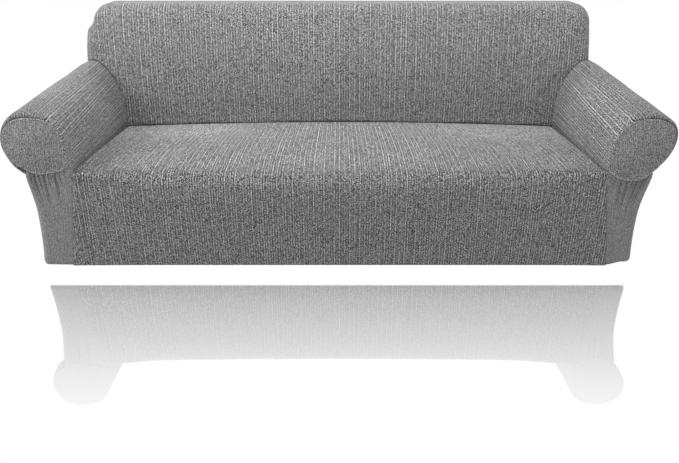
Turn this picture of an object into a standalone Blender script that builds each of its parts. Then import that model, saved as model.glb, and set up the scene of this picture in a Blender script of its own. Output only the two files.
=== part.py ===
"""Stretch slipcover for a three-seat sofa with rolled arms, in the shape it takes when it is fitted.

The cover is a hollow shell of 2 mm ribbed knit in nine sewn panels: one panel over the seat
and down the front, one over the inside back, its top and its two ends, one over each arm, one
round face on each arm front, one gathered skirt below each arm, and one flat outside back.
Lengths are in metres, +Z up, -Y to the front of the sofa. Shapes are worked out with the floor
at Z = 0 and then hang from an empty, so that the origin is the point on the underside of the
top of the back that rests on the sofa.
"""
import math

import bpy
from mathutils import Vector

# ---- cloth -------------------------------------------------------------------------------
CLOTH = 0.002            # thickness of the knit
GAP = 0.0010             # between two panels along a seam
HEM_Z = 0.042            # lower edge above the floor
HEM_TURN = 0.004         # the hem is drawn in by this much

# ---- seat and front ----------------------------------------------------------------------
SEAT_REAR_Y = 0.6360     # where the seat turns down at the foot of the back
SEAT_REAR_Z = 0.400      # at the middle
SEAT_FRONT_Z = 0.385     # at the middle
SEAT_CROWN = 0.005       # rise of the seat between its back and front
SEAT_SINK_REAR = 0.018   # how much lower the seat is at the arms, at its back
SEAT_RISE_FRONT = 0.012  # how much higher it is at the arms, at its front
SEAT_TUCK = 0.014        # radius with which the seat turns down at its back and sides
TUCK_FOOT_Z = 0.352      # lower edge of the tucked-in seams
EDGE_R = 0.046           # rounding of the seat's front edge at the middle
EDGE_R_SIDE = 0.018      # and at the arms
FRONT_Y = -0.0030        # the front panel laps over the arm skirts
FRONT_LAP = 0.003
FRONT_BELLY = 0.004
# height, half width of the front panel there (its seam with the arm skirts)
FRONT_SEAM = ((0.042, 0.957), (0.150, 0.941), (0.265, 0.923), (0.353, 0.910), (0.398, 0.909))

# ---- back --------------------------------------------------------------------------------
BACK_TOP_Z = 0.868
BACK_FOOT_Y = 0.6385     # front of the back at the seat
BACK_FOOT_Z = 0.400
BACK_LEAN = 0.148        # set-back for each metre of height
BACK_EDGE_R = 0.045      # rounding between the front of the back and its top and ends
BACK_CORNER_R = 0.075    # rounding of the two upper corners
BACK_PUFF = 0.010        # the middle of the back stands this far forward
REAR_Y = 0.865           # outside of the outside back
REAR_R = 0.020           # rounding of all edges round the outside back
# height, half width on the left, half width on the right: the left end has a low shoulder
BACK_ENDS = (
    (0.640, 1.059, 1.047),
    (0.700, 1.055, 1.043),
    (0.748, 1.048, 1.039),
    (0.768, 1.042, 1.037),
    (0.786, 1.025, 1.035),
    (0.800, 1.018, 1.034),
    (0.868, 1.016, 1.033),
)

# ---- arms --------------------------------------------------------------------------------
ROLL_X = 1.015           # middle of the roll
ROLL_Z = 0.485           # at the front
ROLL_REAR_Z = 0.548      # at the back
ROLL_REAR_Y = 0.660
# angle up from the outer side, radius of the round face's seam on the left and on the right,
# how far the arm panel swells outside that seam on the left and on the right, radius at the back
ROLL = (
    (-62, 0.0950, 0.0990, 0.023, 0.008, 0.104),
    (-42, 0.1020, 0.0930, 0.014, 0.007, 0.104),
    (-20, 0.1050, 0.0950, 0.009, 0.007, 0.106),
    (0, 0.1095, 0.1000, 0.009, 0.010, 0.107),
    (20, 0.1120, 0.1070, 0.010, 0.013, 0.107),
    (38, 0.1130, 0.1120, 0.012, 0.012, 0.105),
    (53, 0.1095, 0.1060, 0.016, 0.012, 0.102),
    (67, 0.1045, 0.1010, 0.018, 0.013, 0.101),
    (81, 0.1002, 0.0968, 0.016, 0.013, 0.102),
    (96, 0.0982, 0.0945, 0.012, 0.011, 0.098),
    (112, 0.1005, 0.0965, 0.010, 0.010, 0.088),
    (130, 0.1015, 0.0985, 0.008, 0.009, 0.081),
    (148, 0.0975, 0.0990, 0.006, 0.007, 0.079),
    (165, 0.0925, 0.1015, 0.004, 0.004, 0.085),
)
INNER_X = {"left": 0.9110, "right": 0.9085}   # inner side of the arm at the seat, at the front
INNER_REAR_X = 0.9060
KNEE_DROP = 0.090        # the inner side turns upright this far below the roll's last angle
FOOT = (1.0700, 0.3790)  # foot of the roll on its outer side, x and z, at the front
FOOT_REAR = (1.0600, 0.4300)
ARM_FRONT_Y = 0.0035     # front edge of the arm panel, just behind the round face
# distance behind that edge, share of the swelling reached there
ARM_NOSE = ((0.0, 0.0), (0.0025, 0.42), (0.0085, 0.80), (0.0200, 1.0))
FACE_DOME = 0.010        # the round face stands this far forward in its middle
# sign, then the seam under the round face: height at its inner end, lowest x and z, outer x and z
FACES = {
    "left": (-1.0, 0.4190, 1.012, 0.3885, 1.0660, 0.4060),
    "right": (1.0, 0.4000, 0.998, 0.3640, 1.0620, 0.3960),
}

# ---- skirts below the arms -----------------------------------------------------------------
SKIRT_CORNER_R = 0.030   # rounding of its front corner at the hem
SKIRT_CORNER_TOP_R = 0.012
SEAM_STEP = 0.0055       # the skirt's inner edge steps aside below the seat's front corner
# height, outer face of the skirt on the left, and on the right
SKIRT_SIDE = (
    (0.042, 1.0730, 1.0560),
    (0.110, 1.0660, 1.0500),
    (0.180, 1.0620, 1.0475),
    (0.250, 1.0610, 1.0490),
    (0.320, 1.0640, 1.0560),
    (0.379, 1.0700, 1.0670),
)
HEM_LIFT = {"left": 0.001, "right": 0.013}   # how much higher the hem is at the front corner
# one row for each gather: place across the front (0 at the inner seam), half width, depth, length
GATHERS = {
    "left": (
        (0.08, 0.030, 0.0018, 0.070),
        (0.20, 0.026, 0.0040, 0.105),
        (0.31, 0.024, 0.0030, 0.075),
        (0.42, 0.026, 0.0034, 0.085),
        (0.54, 0.028, 0.0030, 0.150),
        (0.66, 0.026, 0.0040, 0.125),
        (0.77, 0.026, 0.0034, 0.090),
        (0.89, 0.028, 0.0028, 0.130),
    ),
    "right": (
        (0.09, 0.028, 0.0014, 0.060),
        (0.22, 0.028, 0.0026, 0.070),
        (0.36, 0.026, 0.0036, 0.110),
        (0.48, 0.024, 0.0032, 0.095),
        (0.59, 0.026, 0.0038, 0.140),
        (0.70, 0.026, 0.0034, 0.115),
        (0.80, 0.024, 0.0038, 0.125),
        (0.91, 0.026, 0.0028, 0.100),
    ),
}

# The cover hangs from the underside of the top of the back.
MOUNT = Vector((0.0, 0.800, BACK_TOP_Z - CLOTH))


def mix(a, b, t):
    return a + (b - a) * t


def smooth(t):
    t = min(1.0, max(0.0, t))
    return t * t * (3.0 - 2.0 * t)


def table(rows, at, column=1):
    """Linear reading of a table whose first column rises."""
    if at <= rows[0][0]:
        return rows[0][column]
    for low, high in zip(rows, rows[1:]):
        if at <= high[0]:
            return mix(low[column], high[column], (at - low[0]) / (high[0] - low[0]))
    return rows[-1][column]


def curve(rows, at, column=1):
    """Smooth reading of such a table: a cubic through its rows."""
    keys = [r[0] for r in rows]
    values = [r[column] for r in rows]
    if at <= keys[0]:
        return values[0]
    if at >= keys[-1]:
        return values[-1]
    i = max(k for k in range(len(keys) - 1) if keys[k] <= at)
    span = keys[i + 1] - keys[i]

    def slope(k):
        a, b = max(0, k - 1), min(len(keys) - 1, k + 1)
        return (values[b] - values[a]) / (keys[b] - keys[a])

    t = (at - keys[i]) / span
    h = t * t * (3 - 2 * t)
    return mix(values[i], values[i + 1], h) + span * (slope(i) * t * (1 - t) ** 2 - slope(i + 1) * t * t * (1 - t))


def steps(low, high, count):
    return [mix(low, high, i / count) for i in range(count + 1)]


def side_of(sign):
    return "left" if sign < 0 else "right"


def rear_inset(y):
    """How far the shell is drawn in near the outside back, as a quarter circle."""
    over = y - (REAR_Y - REAR_R)
    if over <= 0.0:
        return 0.0
    return REAR_R - math.sqrt(max(0.0, REAR_R ** 2 - min(over, REAR_R) ** 2))


REAR_STEPS = [REAR_Y - REAR_R + REAR_R * math.sin(math.radians(d)) for d in (0, 45, 90)]


# ---- seat --------------------------------------------------------------------------------
def inner_x(sign, y):
    """Inner side of the arm at the seat."""
    return mix(INNER_X[side_of(sign)], INNER_REAR_X, min(1.0, max(0.0, y / ROLL_REAR_Y)))


def seat_z(s, t):
    """Height of the seat: s across from -1 to 1, t from its back to its front."""
    return mix(SEAT_REAR_Z, SEAT_FRONT_Z, t) + SEAT_CROWN * math.sin(math.pi * t) - s * s * mix(SEAT_SINK_REAR, -SEAT_RISE_FRONT, t)


def seat_column(sign, s, side_turn):
    """One line of the seat panel from its back tuck to the hem.

    s is its place across the flat part; side_turn is None there, or the angle down the side tuck.
    """
    line = []
    tuck_y = SEAT_REAR_Y - SEAT_TUCK
    turn = 0.0 if side_turn is None else math.radians(side_turn)
    radius = mix(EDGE_R, EDGE_R_SIDE, smooth((s - 0.75) / 0.25))
    edge_y = FRONT_Y + radius

    def x_at(y, tuck, width):
        flat = width - tuck
        return sign * (s * flat if side_turn is None else flat + tuck * math.sin(turn))

    def drop_at(tuck):
        return tuck * (1.0 - math.cos(turn))

    width = inner_x(sign, SEAT_REAR_Y) - CLOTH
    top = seat_z(s, 0.0)
    line.append((x_at(SEAT_REAR_Y, SEAT_TUCK, width), SEAT_REAR_Y, min(TUCK_FOOT_Z, top - SEAT_TUCK - 0.004)))
    for d in (0, 30, 60):
        c, n = math.cos(math.radians(d)), math.sin(math.radians(d))
        line.append((x_at(SEAT_REAR_Y, SEAT_TUCK, width), tuck_y + SEAT_TUCK * c, top - SEAT_TUCK + SEAT_TUCK * n - drop_at(SEAT_TUCK) * n))
    for t in steps(0.0, 1.0, 6):
        y = mix(tuck_y, edge_y, t)
        tuck = mix(SEAT_TUCK, 0.006, smooth((t - 0.5) / 0.5))
        width = inner_x(sign, y) - CLOTH
        line.append((x_at(y, tuck, width), y, seat_z(s, t) - drop_at(tuck)))
    front_z = seat_z(s, 1.0)
    for d in (22, 45, 68):
        c, n = math.cos(math.radians(d)), math.sin(math.radians(d))
        z = front_z - radius + radius * c
        tuck = mix(0.006, 0.001, d / 90)
        width = mix(inner_x(sign, 0.0) - CLOTH, table(FRONT_SEAM, z) + FRONT_LAP, smooth((d - 40) / 50))
        line.append((x_at(0.0, tuck, width), edge_y - radius * n + drop_at(tuck) * n, z - drop_at(tuck) * c))
    low, high = HEM_Z, front_z - radius
    for t in (0.0, 0.3, 0.6, 0.90, 1.0):
        z = mix(high, low, t)
        y = FRONT_Y - FRONT_BELLY * math.sin(math.pi * min(1.0, t * 1.08)) * (1.0 - s ** 4) + HEM_TURN * smooth((t - 0.9) / 0.1) * (1.0 - s ** 8)
        width = table(FRONT_SEAM, z) + FRONT_LAP
        line.append((x_at(0.0, 0.001, width), y, z))
    return line


def seat_points():
    inner = [0.0, 0.18, 0.36, 0.54, 0.70, 0.83, 0.93, 1.0]
    half = [(s, None) for s in inner] + [(1.0, d) for d in (30, 60, 90)]
    grid = [seat_column(-1.0, s, d) for s, d in half[::-1]]
    grid += [seat_column(1.0, s, d) for s, d in half[1:]]
    return grid


# ---- arms --------------------------------------------------------------------------------
def along(y):
    return min(1.0, max(0.0, y / ROLL_REAR_Y))


def roll_centre(y):
    return ROLL_X, mix(ROLL_Z, ROLL_REAR_Z, along(y))


def seam_radius(sign, angle):
    return curve(ROLL, angle, 1 if sign < 0 else 2)


def roll_radius(sign, angle, y, swell=1.0):
    front = seam_radius(sign, angle) + curve(ROLL, angle, 3 if sign < 0 else 4) * swell
    return mix(front, curve(ROLL, angle, 5), along(y))


def roll_point(sign, angle, y, swell=1.0, inset=0.0):
    cx, cz = roll_centre(y)
    r = roll_radius(sign, angle, y, swell) - inset
    a = math.radians(angle)
    return cx + r * math.cos(a), cz + r * math.sin(a)


def roll_top_z(sign, x, y, inset=0.0):
    """Height of the arm at half width x, or None inside it."""
    if x <= roll_point(sign, 165, y)[0]:
        return None
    low, high = 20.0, 165.0
    for _ in range(30):
        middle = (low + high) / 2
        low, high = (low, middle) if roll_point(sign, middle, y, 1.0, inset)[0] < x else (middle, high)
    return roll_point(sign, low, y, 1.0, inset)[1]


def arm_angles(sign):
    """The angles of the arm's lines along its roll; one of them runs beside the end of the back."""
    beside = 70.0
    for _ in range(20):
        x, z = roll_point(sign, beside, ROLL_REAR_Y)
        beside += (x - back_end_x(sign, z) - GAP * 1.2) * 600.0
    return [165, 148, 132, 116, 102, 88, (88 + beside) / 2, beside, 53, 41, 26, 8, -10, -26, -43, -62]


BESIDE = 12              # place of that line in the arm's section


def arm_section(sign, y, swell=1.0, inset=0.0):
    """The arm's section at y, from its foot at the seat, over the roll, to its foot outside."""
    top_x, top_z = roll_point(sign, 165, y, swell)
    low_x = inner_x(sign, y)
    knee_z = top_z - KNEE_DROP
    points = [(low_x, TUCK_FOOT_Z), (low_x, mix(TUCK_FOOT_Z, knee_z, 0.6)), (low_x, knee_z)]
    points += [(mix(low_x, top_x, t), mix(knee_z, top_z, t)) for t in (0.36, 0.68)]
    points += [roll_point(sign, a, y, swell, inset) for a in arm_angles(sign)]
    foot_x, foot_z = (mix(a, b, along(y)) for a, b in zip(FOOT, FOOT_REAR))
    points.append((foot_x - inset, foot_z))
    return points


# ---- back --------------------------------------------------------------------------------
def back_end_x(sign, z):
    return curve(BACK_ENDS, z, 1 if sign < 0 else 2)


def back_face_y(z):
    return BACK_FOOT_Y + BACK_LEAN * max(0.0, z - BACK_FOOT_Z)


def back_surface_y(x, z):
    """Front of the back at (x, z), or REAR_Y outside its outline."""
    sign = -1.0 if x < 0 else 1.0
    end, top = back_end_x(sign, z) - abs(x), BACK_TOP_Z - z
    inside = min(end, top)
    if end < BACK_CORNER_R and top < BACK_CORNER_R:
        inside = BACK_CORNER_R - math.hypot(BACK_CORNER_R - end, BACK_CORNER_R - top)
    if inside <= 0.0:
        return REAR_Y
    y = back_face_y(z) - BACK_PUFF * smooth(inside / 0.25) * smooth((z - BACK_FOOT_Z) / 0.15)
    if inside < BACK_EDGE_R:
        y += BACK_EDGE_R - math.sqrt(BACK_EDGE_R ** 2 - (BACK_EDGE_R - inside) ** 2)
    return y


def back_foot_z(sign, x):
    """Lower edge of the back panel at half width x: below the seat, or on the roll of the arm."""
    z = roll_top_z(sign, x, ROLL_REAR_Y)
    return TUCK_FOOT_Z + 0.002 if z is None else z + GAP * 1.5


def back_column(sign, kind, value, lean_in):
    """One line of the back's front, going up. lean_in moves its upper end towards the middle."""
    if kind == "flat":
        low, high, inset = back_foot_z(sign, value), BACK_TOP_Z, None
    else:
        a = math.radians(value)
        high = BACK_TOP_Z - BACK_CORNER_R * (1.0 - math.cos(a))
        inset = BACK_CORNER_R * (1.0 - math.sin(a))
        low = 0.64
        for _ in range(8):
            low = back_foot_z(sign, back_end_x(sign, low) - inset)
    heights = [mix(low, high - BACK_EDGE_R, t) for t in (0.0, 0.2, 0.4, 0.58, 0.72, 0.82, 0.92)]
    heights += [high - BACK_EDGE_R * (1.0 - math.cos(math.radians(d))) for d in (90, 66, 44, 22)] + [high]
    line = []
    for z in heights:
        if kind == "flat":
            x = value - lean_in * smooth((z - low) / (0.7 * (high - low)))
        else:
            x = back_end_x(sign, z) - inset
        y = back_surface_y(sign * x, z)
        line.append((sign * x, min(y, back_face_y(z) + BACK_EDGE_R), z))
    return line


def back_mesh():
    """The back panel: the grid of its front, and a strip from the rim of that to the rear seam."""
    halves = {}
    for sign in (-1.0, 1.0):
        edge = roll_point(sign, 165, ROLL_REAR_Y)[0]
        flat = [(v, 0.0) for v in (0.0, 0.17, 0.34, 0.51, 0.67, 0.80)]
        flat += [(edge - 0.0006, 0.010), (edge + 0.0006, 0.010), (edge + 0.010, 0.018), (edge + 0.024, 0.027), (edge + 0.040, 0.036)]
        halves[sign] = [("flat", v, lean) for v, lean in flat] + [("corner", d, 0.0) for d in (0, 15, 30, 45, 60, 75, 90)]
    columns = [(-1.0, *c) for c in halves[-1.0][::-1]] + [(1.0, *c) for c in halves[1.0][1:]]
    grid = [back_column(*c) for c in columns]
    rows = len(grid[0])
    points = [p for line in grid for p in line]
    last = len(grid) - 1

    def at(i, j):
        return i * rows + j

    faces = [(at(i, j), at(i + 1, j), at(i + 1, j + 1), at(i, j + 1)) for i in range(last) for j in range(rows - 1)]
    rim = [at(0, j) for j in range(rows)] + [at(i, rows - 1) for i in range(1, last)] + [at(last, j) for j in range(rows - 1, -1, -1)]
    ring = [points[k] for k in rim]
    previous = rim
    for y in REAR_STEPS:
        inset = rear_inset(y)
        current = []
        for k, (x, _, z) in enumerate(ring):
            before, after = ring[max(0, k - 1)], ring[min(len(ring) - 1, k + 1)]
            dx, dz = after[0] - before[0], after[2] - before[2]
            size = math.hypot(dx, dz)
            if k in (0, len(ring) - 1):
                sign = -1.0 if x < 0 else 1.0
                px = abs(x) - inset
                pz = roll_top_z(sign, px, y, inset) + GAP * 1.5
                points.append((sign * px, y, pz))
            else:
                points.append((x + dz / size * inset, y, z - dx / size * inset))
            current.append(len(points) - 1)
        for a, b, c, d in zip(previous, previous[1:], current[1:], current):
            faces.append((a, b, c, d))
        previous = current
    return points, faces, [points[k] for k in previous]


def arm_points(sign):
    sections = len(arm_section(sign, 0.0))
    grid = []
    for i in range(sections):
        end = ROLL_REAR_Y
        for _ in range(6):
            x, z = arm_section(sign, end)[i]
            found = back_surface_y(sign * x, z) - GAP * 1.5
            end = REAR_Y if found > REAR_Y - 0.01 else found
        runs_on = end >= REAR_Y - 1e-6 or i == BESIDE
        line = []
        for behind, share in ARM_NOSE:
            x, z = arm_section(sign, 0.0, share)[i]
            line.append((sign * x, ARM_FRONT_Y + behind, z))
        stations = steps(0.12, 0.58, 3)
        stations += [0.69, 0.77] + REAR_STEPS if runs_on else [mix(0.58, end, t) for t in (0.25, 0.5, 0.7, 0.85, 1.0)]
        for y in stations:
            inset = rear_inset(y)
            x, z = arm_section(sign, y, 1.0, inset)[i]
            if i == BESIDE and y > 0.68:
                x = back_end_x(sign, z) - inset + GAP * 1.2
                z = roll_top_z(sign, x, y, inset)
            line.append((sign * x, y, z))
        grid.append(line)
    return grid


def circle_through(a, b, c):
    """Centre and radius of the circle through three points."""
    ax, ay, bx, by, cx, cy = *a, *b, *c
    d = 2 * (ax * (by - cy) + bx * (cy - ay) + cx * (ay - by))
    ux = ((ax * ax + ay * ay) * (by - cy) + (bx * bx + by * by) * (cy - ay) + (cx * cx + cy * cy) * (ay - by)) / d
    uy = ((ax * ax + ay * ay) * (cx - bx) + (bx * bx + by * by) * (ax - cx) + (cx * cx + cy * cy) * (bx - ax)) / d
    return ux, uy, math.hypot(ax - ux, ay - uy)


def face_seam_z(side, x):
    """Height of the seam under the round face at half width x."""
    sign, inner_z, low_x, low_z, outer_x, outer_z = FACES[side]
    inner = INNER_X[side] + 0.001
    if x < low_x:
        ux, uz, ur = circle_through((inner, inner_z), (low_x, low_z), (2 * low_x - inner, inner_z))
    else:
        ux, uz, ur = circle_through((2 * low_x - outer_x, outer_z), (low_x, low_z), (outer_x, outer_z))
    x = min(max(x, inner), outer_x)
    return uz - math.sqrt(max(0.0, ur * ur - (x - ux) ** 2))


def face_outline(side):
    """The round face's edge: up its inner side, over the roll, and back along the seam below."""
    sign, inner_z, _, _, outer_x, outer_z = FACES[side]
    top_x, top_z = roll_point(sign, 165, 0.0, 0.0)
    low_x = INNER_X[side] + 0.001
    knee_z = max(top_z - KNEE_DROP, inner_z + 0.004)
    points = [(low_x, inner_z), (low_x, knee_z)]
    points += [(mix(low_x, top_x, t), mix(knee_z, top_z, t)) for t in (0.36, 0.68)]
    points += [roll_point(sign, a, 0.0, 0.0) for a in arm_angles(sign)[:-1]]
    points.append((outer_x, outer_z))
    points += [(x, face_seam_z(side, x)) for x in steps(outer_x, low_x, 9)[1:-1]]
    return points


def face_mesh(side):
    """The round face: rings drawn in from its outline to a middle point, standing forward."""
    sign = FACES[side][0]
    outline = face_outline(side)
    cx, cz = roll_centre(0.0)
    points, faces, n = [], [], len(outline)
    for share in (1.0, 0.82, 0.48):
        y = -FACE_DOME * smooth((1.0 - share) / 0.75)
        points += [(sign * mix(cx, x, share), y, mix(cz, z, share)) for x, z in outline]
    points.append((sign * cx, -FACE_DOME, cz))
    for ring in range(2):
        for k in range(n):
            a, b = ring * n + k, ring * n + (k + 1) % n
            faces.append((a, b, b + n, a + n))
    for k in range(n):
        faces.append((2 * n + k, 2 * n + (k + 1) % n, 3 * n))
    return points, faces


# ---- skirts --------------------------------------------------------------------------------
def skirt_side_x(sign, z, y=0.0):
    """Outer face of the skirt. Its top runs along the foot of the roll."""
    x = curve(SKIRT_SIDE, z, 1 if sign < 0 else 2)
    foot_x, foot_z = (mix(a, b, along(y)) for a, b in zip(FOOT, FOOT_REAR))
    top_x = SKIRT_SIDE[-1][1 if sign < 0 else 2]
    return x + (foot_x - top_x) * smooth((z - 0.20) / (foot_z - 0.20)) * smooth(y / 0.15)


def skirt_corner_r(z):
    return mix(SKIRT_CORNER_R, SKIRT_CORNER_TOP_R, smooth((z - 0.24) / 0.13))


def gather(side, place, below):
    """How far the skirt's front is drawn in at a place across it, so far below the seam."""
    depth = 0.0
    for at, width, deep, length in GATHERS[side]:
        fade = smooth(1.0 - below / length)
        lean = at + 0.05 * (0.5 - at) * (below / 0.1)
        depth += deep * fade * math.exp(-(((place - lean) / width) ** 2))
    return depth


def skirt_points(side):
    sign = FACES[side][0]
    across = [0.0, 0.04] + steps(0.08, 0.92, 23) + [0.96, 1.0]
    columns = [("front", a) for a in across] + [("corner", d) for d in (22.5, 45, 67.5, 90)]
    columns += [("side", y) for y in (0.12, 0.30, 0.50, 0.70)] + [("side", y) for y in REAR_STEPS]
    grid = []
    for kind, value in columns:
        y_plan = value if kind == "side" else 0.0
        lift = HEM_LIFT[side] * (smooth(value) if kind == "front" else 1.0 if kind == "corner" else smooth(1.0 - value / 0.5))
        foot = HEM_Z + lift
        _, foot_z = (mix(a, b, along(y_plan)) for a, b in zip(FOOT, FOOT_REAR))
        top = foot_z - GAP * 2.5
        if kind != "side":
            for _ in range(6):
                place = value if kind == "front" else 1.0
                x = mix(FRONT_SEAM[-1][1] + SEAM_STEP, skirt_side_x(sign, top) - skirt_corner_r(top), place)
                top = face_seam_z(side, x) - GAP * 1.5
        if kind == "corner":
            top = mix(top, foot_z - GAP * 2.5, smooth(value / 45))
        line = []
        for t in (0.0, 0.035, 0.18, 0.40, 0.60, 0.76, 0.87, 0.95, 1.0):
            z = mix(foot, top, t)
            side_x = skirt_side_x(sign, z, y_plan)
            turn = HEM_TURN * smooth((0.035 - t) / 0.035)
            radius = skirt_corner_r(z)
            if kind == "front":
                seam = table(FRONT_SEAM, z) + SEAM_STEP * smooth((z - 0.352) / 0.016)
                x = mix(seam, side_x - radius, value)
                y = gather(side, value, top - z) * smooth(value / 0.05) * smooth((1.0 - value) / 0.05) + turn
            elif kind == "corner":
                a = math.radians(value)
                x = side_x - radius + (radius - turn) * math.sin(a)
                y = radius - (radius - turn) * math.cos(a)
            else:
                x, y = side_x - rear_inset(value) - turn, value
            line.append((sign * x, y, z))
        grid.append(line)
    return grid


# ---- outside back ------------------------------------------------------------------------
def outside_back_outline(arms, skirts, back_rim):
    """The rear edges of the other panels, joined into one loop and drawn in by the seam's gap."""
    loop = [(x, z) for x, _, z in skirts["right"][-1]]
    rear = [line[-1] for line in arms["right"] if line[-1][1] >= REAR_Y - 1e-6]
    loop += [(x, z) for x, _, z in reversed(rear)]
    loop += [(x, z) for x, _, z in reversed(back_rim)]
    rear = [line[-1] for line in arms["left"] if line[-1][1] >= REAR_Y - 1e-6]
    loop += [(x, z) for x, _, z in rear]
    loop += [(x, z) for x, _, z in reversed(skirts["left"][-1])]
    thin = [loop[0]]
    for p in loop[1:]:
        if math.dist(p, thin[-1]) > 0.0012:
            thin.append(p)
    drawn_in = []
    for k, here in enumerate(thin):
        before, after = thin[k - 1], thin[(k + 1) % len(thin)]
        first, second = math.dist(before, here), math.dist(here, after)
        n1 = (-(here[1] - before[1]) / first, (here[0] - before[0]) / first)
        n2 = (-(after[1] - here[1]) / second, (after[0] - here[0]) / second)
        reach = GAP * 1.9 / max(0.35, 1.0 + n1[0] * n2[0] + n1[1] * n2[1])
        hem = k in (0, len(thin) - 1)
        drawn_in.append((here[0] + (n1[0] + n2[0]) * reach, here[1] + (0.0 if hem else (n1[1] + n2[1]) * reach)))
    return drawn_in


# ---- objects -----------------------------------------------------------------------------
def cloth_material(name, colour):
    material = bpy.data.materials.new(name)
    material.use_nodes = True
    shader = material.node_tree.nodes["Principled BSDF"]
    shader.inputs["Base Color"].default_value = (*colour, 1.0)
    shader.inputs["Roughness"].default_value = 0.92
    shader.inputs["Metallic"].default_value = 0.0
    return material


def hang(item, collection, frame):
    collection.objects.link(item)
    item.parent = frame
    return item


def panel(name, points, faces, material, collection, frame):
    """One panel: its outer surface, with the cloth's thickness on the inside."""
    mesh = bpy.data.meshes.new(name)
    mesh.from_pydata([Vector(p) for p in points], [], faces)
    mesh.update()
    mesh.shade_smooth()
    mesh.materials.append(material)
    item = hang(bpy.data.objects.new(name, mesh), collection, frame)
    thick = item.modifiers.new("cloth", "SOLIDIFY")
    thick.thickness = CLOTH
    thick.offset = -1.0
    thick.use_even_offset = True
    thick.use_rim = True
    return item


def grid_mesh(grid, flip):
    rows = len(grid[0])
    points = [p for line in grid for p in line]
    faces = []
    for i in range(len(grid) - 1):
        for j in range(rows - 1):
            a, b, c, d = i * rows + j, (i + 1) * rows + j, (i + 1) * rows + j + 1, i * rows + j + 1
            faces.append((a, d, c, b) if flip else (a, b, c, d))
    return points, faces


def build():
    for item in list(bpy.data.objects):
        bpy.data.objects.remove(item)
    cover = bpy.data.collections.new("sofa_slipcover")
    bpy.context.scene.collection.children.link(cover)
    frame = bpy.data.objects.new("floor_level", None)
    frame.location = -MOUNT
    cover.objects.link(frame)

    knit = cloth_material("ribbed_knit", (0.28, 0.28, 0.28))
    plain = cloth_material("arm_front_knit", (0.33, 0.33, 0.33))

    panel("seat_and_front", *grid_mesh(seat_points(), flip=True), knit, cover, frame)
    points, faces, back_rim = back_mesh()
    panel("inside_back", points, faces, knit, cover, frame)
    arms = {side: arm_points(row[0]) for side, row in FACES.items()}
    skirts = {side: skirt_points(side) for side in FACES}
    for side, (sign, *_) in FACES.items():
        panel("arm_" + side, *grid_mesh(arms[side], flip=sign < 0), knit, cover, frame)
        points, faces = face_mesh(side)
        if sign > 0:
            faces = [tuple(reversed(f)) for f in faces]
        panel("arm_face_" + side, points, faces, plain, cover, frame)
        panel("arm_skirt_" + side, *grid_mesh(skirts[side], flip=sign < 0), plain, cover, frame)

    outline = outside_back_outline(arms, skirts, back_rim)
    sheet = bpy.data.curves.new("outside_back", "CURVE")
    sheet.dimensions = "2D"
    sheet.fill_mode = "BOTH"
    sheet.extrude = CLOTH / 2
    spline = sheet.splines.new("POLY")
    spline.points.add(len(outline) - 1)
    for point, (x, z) in zip(spline.points, outline):
        point.co = (x, z, 0.0, 1.0)
    spline.use_cyclic_u = True
    sheet.materials.append(knit)
    outside = hang(bpy.data.objects.new("outside_back", sheet), cover, frame)
    outside.rotation_euler = (math.radians(90.0), 0.0, 0.0)
    outside.location = (0.0, REAR_Y - CLOTH / 2, 0.0)


build()
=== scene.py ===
"""Looks of the sofa slipcover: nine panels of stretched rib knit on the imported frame."""
import math

import bpy
import numpy as np
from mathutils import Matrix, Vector


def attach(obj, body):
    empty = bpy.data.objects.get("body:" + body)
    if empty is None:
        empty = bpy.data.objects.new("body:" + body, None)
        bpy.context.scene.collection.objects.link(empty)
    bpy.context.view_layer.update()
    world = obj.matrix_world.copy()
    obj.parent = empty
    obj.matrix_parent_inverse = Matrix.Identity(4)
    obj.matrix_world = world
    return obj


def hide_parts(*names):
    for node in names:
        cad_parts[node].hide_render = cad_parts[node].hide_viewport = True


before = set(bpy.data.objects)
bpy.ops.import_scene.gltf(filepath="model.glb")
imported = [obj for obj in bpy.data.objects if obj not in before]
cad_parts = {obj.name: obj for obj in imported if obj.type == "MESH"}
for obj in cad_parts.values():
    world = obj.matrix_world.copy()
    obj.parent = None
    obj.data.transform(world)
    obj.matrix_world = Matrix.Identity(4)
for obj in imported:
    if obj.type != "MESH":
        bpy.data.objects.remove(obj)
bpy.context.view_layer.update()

# Shapes are worked out with the floor at Z = 0; the frame's origin is this point.
MOUNT = np.array((0.0, 0.800, 0.866))

# ---- camera ------------------------------------------------------------------------------
lens = bpy.data.cameras.new("camera")
lens.sensor_width = 36.0
lens.lens = 35.25
lens.clip_end = 100.0
camera = bpy.data.objects.new("camera", lens)
camera.location = (0.0, -2.13 - MOUNT[1], 1.154 - MOUNT[2])
camera.rotation_euler = (math.radians(90.0 - 24.65), 0.0, 0.0)
bpy.context.scene.collection.objects.link(camera)
bpy.context.scene.camera = camera

# ---- measures of the cover, as in the model ----------------------------------------------
CLOTH = 0.0012           # thickness of the knit
SOLID = 0.002            # and of its solids
GAP = 0.0010
HEM_Z = 0.042
SEAT_REAR_Y = 0.6360
SEAT_REAR_Z = 0.400
SEAT_FRONT_Z = 0.385
SEAT_CROWN = 0.005
SEAT_SINK_REAR = 0.018
SEAT_RISE_FRONT = 0.012
SEAT_TUCK = 0.014
TUCK_FOOT_Z = 0.352
EDGE_R = 0.046
EDGE_R_SIDE = 0.018
FRONT_Y = -0.0030
FRONT_LAP = 0.003
FRONT_BELLY = 0.004
FRONT_SEAM = ((0.042, 0.957), (0.150, 0.941), (0.265, 0.923), (0.353, 0.910), (0.398, 0.909))
BACK_TOP_Z = 0.868
BACK_FOOT_Y = 0.6385
BACK_FOOT_Z = 0.400
BACK_LEAN = 0.148
BACK_EDGE_R = 0.045
BACK_CORNER_R = 0.075
BACK_PUFF = 0.010
REAR_Y = 0.865
REAR_R = 0.020
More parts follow.
